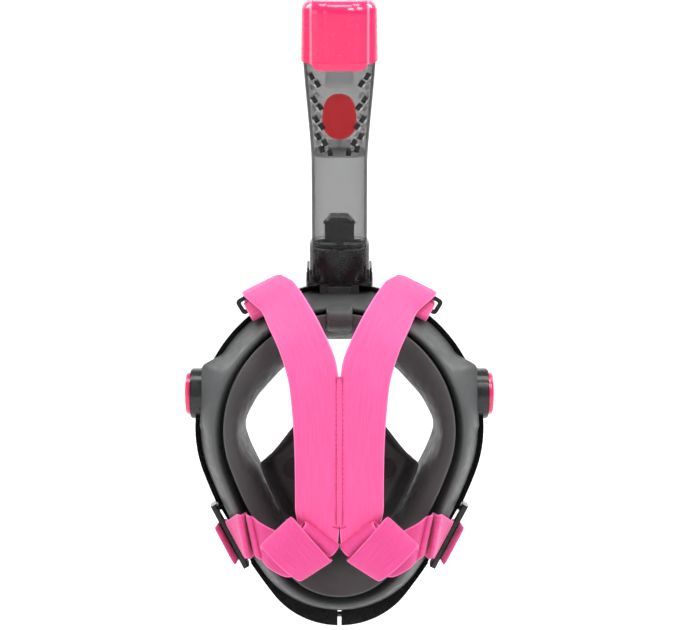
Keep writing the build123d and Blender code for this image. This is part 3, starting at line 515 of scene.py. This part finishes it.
def make_duct_sleeve():
    """Flat channel moulded over the forehead duct, stepped where it crosses the groove and the lip."""
    stations = [((SLEEVE_HALF, y, z), (-SLEEVE_HALF, y, z)) for z, y in SLEEVE_RUN]
    web("duct_sleeve", 1, stations, per_span=5, thickness=SLEEVE_WALL,
        material=SKIRT_SILICONE)


# ------------------------------------------------------------------ nose cup
# The +X half of the nose cup's outline, the middle it is measured from, and the Y of its front wall
CUP_HALF = [(0, 3), (9, -2.5), (32, -27), (43, -41), (51, -49.6), (57, -52), (52, -66), (40, -92), (15, -111),
            (0, -113)]
CUP_CENTRE = -62
CUP_FRONT = -49.75


def make_nose_cup():
    """Soft pocket over nose and mouth: rolled rear lip, hollow, and a front wall for the inhale valves."""
    angles = np.linspace(0, 2 * math.pi, 160, endpoint=False)
    cos, sin = np.cos(angles), np.sin(angles)
    reach = polar(rounded(mirrored(CUP_HALF), 40), CUP_CENTRE, angles)

    def ring(inset, depth):
        r = np.maximum(reach - inset, 1)
        x, z = r * cos, CUP_CENTRE + r * sin
        return np.stack([x, barrel_y(CUP_EDGE, x, z) - depth, z], 1)

    def flat(inset, share, y):
        r = np.maximum(reach - inset, 1) * share
        return np.stack([r * cos, np.full_like(r, y), CUP_CENTRE + r * sin], 1)

    rings = [flat(0, 0.06, CUP_FRONT - 2.2), flat(6, 0.5, CUP_FRONT - 2.2), flat(6, 1, CUP_FRONT - 2.2),
             flat(2.4, 1, CUP_FRONT - 0.5), ring(1.4, 9), ring(0.4, 3), ring(-0.8, 0.9), ring(-0.6, 0),
             ring(0.8, -0.2), ring(2, 1), ring(2.6, 3), ring(3.6, 9), flat(5.2, 1, CUP_FRONT + 3),
             flat(8, 1, CUP_FRONT + 0.2), flat(12, 0.9, CUP_FRONT), flat(12, 0.5, CUP_FRONT),
             flat(12, 0.06, CUP_FRONT)]
    piece = ring_mesh("nose_cup_soft", rings, CUP_SILICONE, caps=True)
    subdivide(piece)
    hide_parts("nose_cup")


# ------------------------------------------------------------------ straps
# Facets across a web, and how far and how suddenly it thins towards its selvedges
ACROSS, EDGE_THINNING, EDGE_POWER = 14, 0.55, 10


def spline(points, per_span):
    """Catmull-Rom curve through points."""
    pts = [np.array(p, float) for p in points]
    pts = [2 * pts[0] - pts[1]] + pts + [2 * pts[-1] - pts[-2]]
    out = []
    for i in range(1, len(pts) - 2):
        a, b, c, d = pts[i - 1:i + 3]
        for t in np.linspace(0, 1, per_span, endpoint=False):
            out.append(0.5 * (2 * b + (c - a) * t + (2 * a - 5 * b + 4 * c - d) * t**2
                              + (3 * b - a - 3 * c + d) * t**3))
    out.append(pts[-2])
    return np.array(out)


def web(name, side, stations, body="root", per_span=10, thickness=WEB_THICKNESS,
        material=None):
    """Closed webbing between two selvedge rails, from pairs of points given for the left side."""
    rail_a = spline([a for a, b in stations], per_span)
    rail_b = spline([b for a, b in stations], per_span)
    rail_a[:, 0] *= side
    rail_b[:, 0] *= side
    middle = (rail_a + rail_b) / 2
    tangent = np.gradient(middle, axis=0)
    across = rail_b - rail_a
    normal = np.cross(across, tangent)
    normal /= np.linalg.norm(normal, axis=1)[:, None]
    length = np.concatenate([[0], np.cumsum(np.linalg.norm(np.diff(middle, axis=0), axis=1))])
    points, uvs = [], []
    for k in range(len(middle)):
        loop = []
        for i in range(ACROSS + 1):
            u = i / ACROSS
            edge = 1 - abs(2 * u - 1) ** EDGE_POWER * EDGE_THINNING
            loop.append((u, edge))
        for sign, run in ((1, loop), (-1, list(reversed(loop)))):
            for u, edge in run:
                points.append(rail_a[k] + across[k] * u + normal[k] * sign * thickness / 2 * edge)
                uvs.append(((2 * u - 1) * WEB_HALF, length[k]))
    row = 2 * (ACROSS + 1)
    faces = [tuple(reversed(range(row))), tuple(range(len(points) - row, len(points)))]
    for k in range(len(middle) - 1):
        for i in range(row):
            j = (i + 1) % row
            faces.append((k * row + i, k * row + j, (k + 1) * row + j, (k + 1) * row + i))
    piece = make_piece(name, points, faces, material or STRAP_WEB, body=body, uvs=uvs)
    return piece, float(length[-1])


# The bracket's turn up from level, with the directions out from the egg's centre and along the bracket
STRAP_TURN = math.radians(60.8)
RADIAL = np.array([math.cos(STRAP_TURN), 0, math.sin(STRAP_TURN)])
TANGENT = np.array([math.sin(STRAP_TURN), 0, -math.cos(STRAP_TURN)])


def bracket_station(reach, y, skew=0.0, trim=0.0):
    """Selvedge pair square to the bracket, at a reach from the egg's centre; trim draws in the upper one."""
    centre = np.array([0, y, LIP_Z]) + RADIAL * reach + TANGENT * skew
    upper = centre - TANGENT * (WEB_HALF - trim) - RADIAL * trim * 0.5
    return tuple(centre + TANGENT * WEB_HALF), tuple(upper)


# Lower buckle: lean of its bar, tilt of its arms, and how far the webbing hangs towards the bar's lower end
HOOK_LEAN, HOOK_TILT = math.radians(27.6), math.radians(2)
HOOK_DROP = 3
HOOK = np.array(joints["buckle_left_swing"]["pos_m"]) / MM
HOOK_ALONG = np.array([-math.sin(HOOK_LEAN), 0, -math.cos(HOOK_LEAN)])
HOOK_OUT = np.array([math.cos(HOOK_LEAN), 0, -math.sin(HOOK_LEAN)])


def hook_station(back, out):
    """Selvedge pair along the buckle bar, at a distance behind the pivot and outside it."""
    along = np.array([0, math.cos(HOOK_TILT), 0]) - HOOK_OUT * math.sin(HOOK_TILT)
    centre = HOOK + along * back + HOOK_OUT * out + HOOK_ALONG * HOOK_DROP
    return tuple(centre - HOOK_ALONG * WEB_HALF), tuple(centre + HOOK_ALONG * WEB_HALF)


# Courses of the webbing as pairs of selvedge points (x, y, z) on the left side
UPPER_RUN = [
    ((67.8, -13, 67.4), (41.4, -13, 81.4)), ((65.6, -8, 66), (38.4, -8, 81.2)),
    ((60.3, 0, 62.4), (34.8, 0, 80)), ((53.8, 8, 57), (31.3, 8, 78.2)),
    ((47.8, 26, 46.8), (23.4, 26, 68.6)), ((40.6, 45, 33.8), (14, 45, 54.4)), ((34.4, 55, 15), (4, 57, 34)),
    ((32, 59.5, -4), (0.9, 61, 20)), ((30.6, 61.4, -22), (0.1, 62, 4)), ((30, 60.6, -44), (0, 61.8, -36)),
    ((29.9, 57.6, -62), (0, 60, -66)), ((29.9, 55.4, -72), (0.2, 57, -84)), ((28.9, 53, -79), (0.9, 54, -94)),
    ((28, 49, -82), (1.5, 50, -97.5)), ((27, 45, -80), (1.5, 46, -95)), ((26, 43, -74), (1.5, 44, -88))]
# The curled end's axis from its outer to its inner end, each with a radius; then its stations and their turn
CURL_ENDS = (((25.4, 57, -83.4), 5.4), ((3.6, 49.5, -100.8), 7))
CURL_STATIONS, CURL_STEP, CURL_START, CURL_TIGHTENING = 15, 32, -150, 0.032


def curl_run():
    """Stations round the strap's curled end: one and a quarter tightening turns, widest at the middle."""
    (left, left_radius), (right, right_radius) = CURL_ENDS
    axis = np.array(right) - np.array(left)
    down = np.cross(axis, (0, 1, 0))
    down /= np.linalg.norm(down)
    out = np.cross(down, axis)
    out /= np.linalg.norm(out)
    stations = []
    for k in range(CURL_STATIONS):
        turn, tighter = math.radians(k * CURL_STEP + CURL_START), 1 - CURL_TIGHTENING * k
        spoke = down * math.cos(turn) + out * math.sin(turn)
        outer = tuple(left + spoke * left_radius * tighter)
        inner = tuple(right + spoke * right_radius * tighter)
        stations.append((outer, inner))
    return stations


BAND_RUN = [
    ((34, 46, -82), (54, 42, -103)), ((33, 52, -78.5), (54, 47, -99.5)), ((31, 58, -78), (52.5, 53, -99.5)),
    ((26.5, 61.5, -82.5), (46.5, 58, -105)), ((20, 62.5, -90), (39.5, 60, -111.5)),
    ((12, 60, -99.5), (33, 57.5, -117.5)), ((6.5, 55.5, -106.5), (28, 53, -121.8)),
    ((5, 50, -108), (26.5, 48, -122.5)), ((8, 46, -105), (29.5, 43.5, -120))]
PLEAT_RUN = [
    ((34, 40, -94), (27, 40, -121)), ((44, 36, -91), (37, 37, -123)), ((55, 32, -86), (48, 32, -118.5)),
    ((60.4, 26, -83), (53.2, 26, -114.5)), ((62.4, 28.5, -82), (55.6, 27.5, -112.4)),
    ((64.2, 26, -81.8), (57.8, 25, -111.6)), ((65, 17, -82.6), (59, 17, -112.4)),
    ((66, 9.5, -83.4), (60.4, 10, -114)), ((67.1, 17, -83), (61.7, 17, -114.4)),
    ((68.4, 25.5, -82), (63.2, 23, -113.6)), ((70.6, 24, -82), (65.4, 20, -112.6)),
    ((72, 14, -84), (66.6, 12, -113.4))]
# Round the bracket: reach, Y, skew and trim of each station. Round the buckle's bar: distance back and out
BRACKET_WRAP = (
    (98.6, -8.6, 2), (100.4, -13, 2.4), (103.4, -18.4, 3), (105.6, -21.6, 3), (107, -24.6, 3),
    (107.2, -27.2, 2.6), (108.6, -29, 2), (111.4, -29.3, 1), (113.8, -27.2, 0.4, 1.6),
    (114.6, -23.6, 0, 2.8), (113.6, -18.6, 0, 1.8))
BAR_WRAP = ((23, -3.4), (18, -3.4), (13, -3.3), (10.4, -2.4), (9.6, 0), (10.4, 2.4), (13, 3.3), (18, 3.8),
            (25, 5))
# The rolled end under the strap, on the head side of the bracket: reach and Y of each station
ROLL_CORE = ((98.6, -8.6), (97.2, -6.6), (94.8, -7.2), (94.2, -9.8), (96, -11.6), (98, -10.6), (97.6, -8.8),
             (96.4, -8.6))
ROLL_SKEW, ROLL_THICKNESS = 2, 1.2


def make_straps():
    """The webbing of each side, from the roll at the bracket to the loop round the buckle."""
    for name, side in SIDES:
        wrap = [bracket_station(*place) for place in BRACKET_WRAP]
        upper, length = web(f"upper_web_{name}", side, wrap + UPPER_RUN)
        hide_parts(f"strap_upper_{name}")
        # The curl, band, pleat and buckle loop take the darker webbing, which is painted shade
        curl, length = web(f"curl_web_{name}", side, curl_run(), material=STRAP_SHADED)
        band, length = web(f"band_web_{name}", side, BAND_RUN, material=STRAP_SHADED)
        pleat, length = web(f"pleat_web_{name}", side, PLEAT_RUN + [hook_station(*BAR_WRAP[0])], body=None,
                            material=STRAP_SHADED)
        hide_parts(f"strap_lower_{name}")
        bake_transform(pleat)
        turn = [hook_station(*place) for place in BAR_WRAP]
        end, length = web(f"end_web_{name}", side, turn, body=f"buckle_{name}", material=STRAP_SHADED)
        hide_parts(f"strap_end_{name}")
        anchor_roll(name, side)


def anchor_roll(name, side):
    """The upper strap's end at the bracket, rolled up so that it cannot slip back through."""
    core = [bracket_station(reach, y, ROLL_SKEW) for reach, y in ROLL_CORE]
    roll, length = web(f"roll_web_{name}", side, core, thickness=ROLL_THICKNESS)


# Centre seam: its course as (z, y), half width and thickness, and the place of its stitch rows
SEAM_RUN = [(19, 61.8), (12, 62.5), (-14, 63), (-40, 62.9), (-66, 61.2), (-76, 59.6), (-83, 58)]
SEAM_HALF, SEAM_THICKNESS, STITCH_ROW, STITCH_LIFT = 1.7, 1.3, 2.3, 0.05
TACK_HALF, TACK_Y, TACK_Z, TACK_STEP, TACK_COUNT = 2.6, 62.5, 18, 0.8, 6
# The curved row that closes the seam's lower end: half its width, Y, Z, drop and thread radius
SMILE_HALF, SMILE_Y, SMILE_Z, SMILE_DROP, SMILE_RADIUS = 4.8, 57.6, -83.6, 1.5, 0.5


def make_seam():
    """Raised centre seam that joins the two straps, with its rows of stitches and a bar tack at its top."""
    ridge = [((SEAM_HALF, y, z), (-SEAM_HALF, y, z)) for z, y in SEAM_RUN]
    piece, _ = web("seam_web", 1, ridge, thickness=SEAM_THICKNESS)
    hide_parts("centre_seam")
    line = spline([(0, y, z) for z, y in SEAM_RUN], 24)
    points, faces = [], []
    for row in (-STITCH_ROW, STITCH_ROW):
        for k in range(2, len(line) - 3, 3):
            stitch(points, faces, line[k] + (row, STITCH_LIFT, 0), line[k + 2] + (row, STITCH_LIFT, 0))
    for k in range(TACK_COUNT):
        z = TACK_Z - k * TACK_STEP
        stitch(points, faces, (-TACK_HALF, TACK_Y, z), (TACK_HALF, TACK_Y, z))
    across = np.linspace(-SMILE_HALF, SMILE_HALF, 7)
    arc = [(x, SMILE_Y, SMILE_Z - SMILE_DROP * (1 - (x / SMILE_HALF) ** 2)) for x in across]
    for start, end in zip(arc, arc[1:]):
        stitch(points, faces, start, end, SMILE_RADIUS)
    make_piece("seam_stitches", points, faces, THREAD)


def stitch(points, faces, start, end, radius=0.32):
    """One thread between two needle holes: a thin lens-shaped bar."""
    start, end = np.array(start, float), np.array(end, float)
    along = (end - start) / np.linalg.norm(end - start)
    side = np.cross(along, (0, 1, 0))
    side /= np.linalg.norm(side)
    up = np.cross(side, along)
    base = len(points)
    for share, size in ((0, 0.3), (0.25, 1), (0.75, 1), (1, 0.3)):
        centre = start + (end - start) * share
        for turn in range(6):
            a = turn * math.pi / 3
            points.append(centre + (side * math.cos(a) + up * math.sin(a)) * radius * size)
    for k in range(3):
        for i in range(6):
            j = (i + 1) % 6
            faces.append((base + k * 6 + i, base + k * 6 + j, base + (k + 1) * 6 + j, base + (k + 1) * 6 + i))
    faces.append(tuple(base + i for i in reversed(range(6))))
    faces.append(tuple(base + 18 + i for i in range(6)))


# ------------------------------------------------------------------ vent louvres in the snorkel head
# The tilted snorkel, and the width, depth and corner radius of its head by height along it
SNORKEL_FOOT = np.array([0, -38, 79.5])
TILT = math.radians(15)
SNORKEL_UP = np.array([0, math.sin(TILT), math.cos(TILT)])
SNORKEL_BACK = np.array([0, math.cos(TILT), -math.sin(TILT)])
HEAD_HEIGHTS, HEAD_WIDTHS = (88, 111, 137, 160.6), (39.5, 42.5, 47, 50.4)
HEAD_DEPTHS, HEAD_CORNERS = (30, 38, 43.6, 46.8), (11, 13, 15, 16)
# Rows of vents and of the ribs between them: height along the snorkel, distance from its middle, slope
VENT_ROWS = ((149.5, 19.2, 48), (133.2, 17.4, 50), (119, 16.2, 50), (106.6, 14.8, 42), (97.3, 12.2, 22))
BLADE_STEP, BLADE_TALLER, BLADE_RAKE, BLADE_THICKNESS, BLADE_TWIST_BACK = 6.2, 0.4, 0.4, 0.7, 12
RIB_ROWS = ((141.6, 19, 56), (126.4, 17.8, 56), (113, 16.6, 54), (102, 14.6, 40))


def head_back(x, height):
    """How far behind the snorkel's axis the outside of its head is, at x and a height along the axis."""
    width = np.interp(height, HEAD_HEIGHTS, HEAD_WIDTHS)
    depth = np.interp(height, HEAD_HEIGHTS, HEAD_DEPTHS)
    corner = np.interp(height, HEAD_HEIGHTS, HEAD_CORNERS)
    past = max(abs(x) - (width / 2 - corner), 0)
    return depth / 2 - (corner - math.sqrt(corner**2 - past**2))


def on_snorkel(x, back, height):
    """A point across, behind and along the tilted snorkel."""
    return SNORKEL_FOOT + np.array([x, 0, 0]) + SNORKEL_BACK * back + SNORKEL_UP * height


def make_louvres(name, rows, material, half, deep):
    """Slanted blades inside the wall of the snorkel's head, in mirrored pairs leaning inwards at the top."""
    points, faces = [], []
    tall = half + BLADE_TALLER
    for height, reach, slope in rows:
        for side in (1, -1):
            for step in (0, BLADE_STEP):
                turn = math.radians(slope)
                x, z = side * (reach - step * math.cos(turn)), height - step * math.sin(turn)
                twist = -side * math.radians(slope - BLADE_TWIST_BACK)
                for across, along in ((-half, -tall), (half, -tall), (half, tall), (-half, tall)):
                    px = x + across * math.cos(twist) - along * math.sin(twist)
                    pz = z + across * math.sin(twist) + along * math.cos(twist)
                    inset = deep + (along + tall) * BLADE_RAKE
                    for sink in (0, BLADE_THICKNESS):
                        points.append(on_snorkel(px, head_back(px, pz) - inset - sink, pz))
                b = len(points) - 8
                faces += [(b, b + 2, b + 4, b + 6), (b + 7, b + 5, b + 3, b + 1)]
                for i in range(4):
                    faces.append((b + 2 * i, b + 2 * i + 1, b + (2 * i + 3) % 8, b + (2 * i + 2) % 8))
    make_piece(name, points, faces, material, body="snorkel")


# ------------------------------------------------------------------ camera, light, stage
# In metres: what the camera looks at, from how far and how high, and the width it sees at that distance
AIM = Vector((-0.0004, 0, 0.0548))
DISTANCE = 1.3
ELEVATION = math.radians(5)
VIEW_WIDTH = 0.476


def make_camera():
    """Camera behind the wearer's head, looking slightly down."""
    camera = bpy.data.objects.new("camera", bpy.data.cameras.new("camera"))
    bpy.context.scene.collection.objects.link(camera)
    towards = Vector((0, math.cos(ELEVATION), math.sin(ELEVATION)))
    camera.location = AIM + towards * DISTANCE
    camera.rotation_euler = (-towards).to_track_quat("-Z", "Y").to_euler()
    camera.data.lens = camera.data.sensor_width * DISTANCE / VIEW_WIDTH
    bpy.context.scene.camera = camera


# Lights: name, place, size and power, all aimed where the camera looks
LIGHTS = (("key", (-0.55, 1.1, 1.25), 0.6, 15), ("fill", (1.3, 1.1, 0.35), 1.0, 5),
          ("crown", (0, 0.2, 1.3), 0.5, 6))
WORLD_STRENGTH, FLOOR_BELOW, PAPER_AIM, BEND_STEPS = 0.42, 0.05, (0, -2.2, 0.1), 12


def area_light(name, place, size, power, aim=AIM):
    """A square soft lamp turned towards a point."""
    light = bpy.data.objects.new(name, bpy.data.lights.new(name, "AREA"))
    bpy.context.scene.collection.objects.link(light)
    light.location = place
    light.rotation_euler = (Vector(aim) - Vector(place)).to_track_quat("-Z", "Y").to_euler()
    light.data.size = size
    light.data.energy = power


def make_stage():
    """A sweep of white paper below and in front of the mask, an even world and soft lamps."""
    floor_z = cad_box[0][2] - FLOOR_BELOW
    bend, half, front, back, top = 0.9, 3.0, 2.4, -1.2, 2.6
    profile = [(front, floor_z)]
    for k in range(BEND_STEPS + 1):
        a = math.pi / 2 * k / BEND_STEPS
        profile.append((back - bend * math.sin(a), floor_z + bend * (1 - math.cos(a))))
    profile.append((back - bend, top))
    points = [(x, y, z) for y, z in profile for x in (-half, half)]
    faces = [(2 * i, 2 * i + 1, 2 * i + 3, 2 * i + 2) for i in range(len(profile) - 1)]
    mesh = bpy.data.meshes.new("stage")
    mesh.from_pydata(points, [], faces)
    stage = bpy.data.objects.new("stage", mesh)
    bpy.context.scene.collection.objects.link(stage)
    for polygon in mesh.polygons:
        polygon.use_smooth = True
    paper = Material("paper", (0.93, 0.93, 0.93), 0.9)
    paper.color(paper.noise(3, 4), (0.92, 0.92, 0.92), (0.95, 0.95, 0.95))
    mesh.materials.append(paper.mat)
    world = bpy.data.worlds.new("studio")
    world.use_nodes = True
    world.node_tree.nodes["Background"].inputs["Color"].default_value = (1, 1, 1, 1)
    world.node_tree.nodes["Background"].inputs["Strength"].default_value = WORLD_STRENGTH
    bpy.context.scene.world = world
    for light in LIGHTS:
        area_light(*light)
    for side in (-1, 1):
        area_light(f"backdrop_{side + 1}", (side * 1.5, -0.5, 1.6), 1.0, 36, aim=PAPER_AIM)
    bpy.context.scene.view_settings.view_transform = "Standard"
    bpy.context.scene.cycles.transparent_max_bounces = 24


make_camera()
make_stage()
dress_nodes()
make_skirt()
make_duct_sleeve()
make_nose_cup()
make_seam()
make_straps()
# The blades stand for real slanted louvres, but their black is painted shade for the dark inside of the vents
make_louvres("vent_louvres", VENT_ROWS, BLACK_SHELL, half=1.9, deep=2.7)
# Ribs between the vent rows, pale as a painted highlight for the light the plastic catches there
make_louvres("vent_ribs", RIB_ROWS, PALE_CLEAR, half=1.5, deep=3.4)
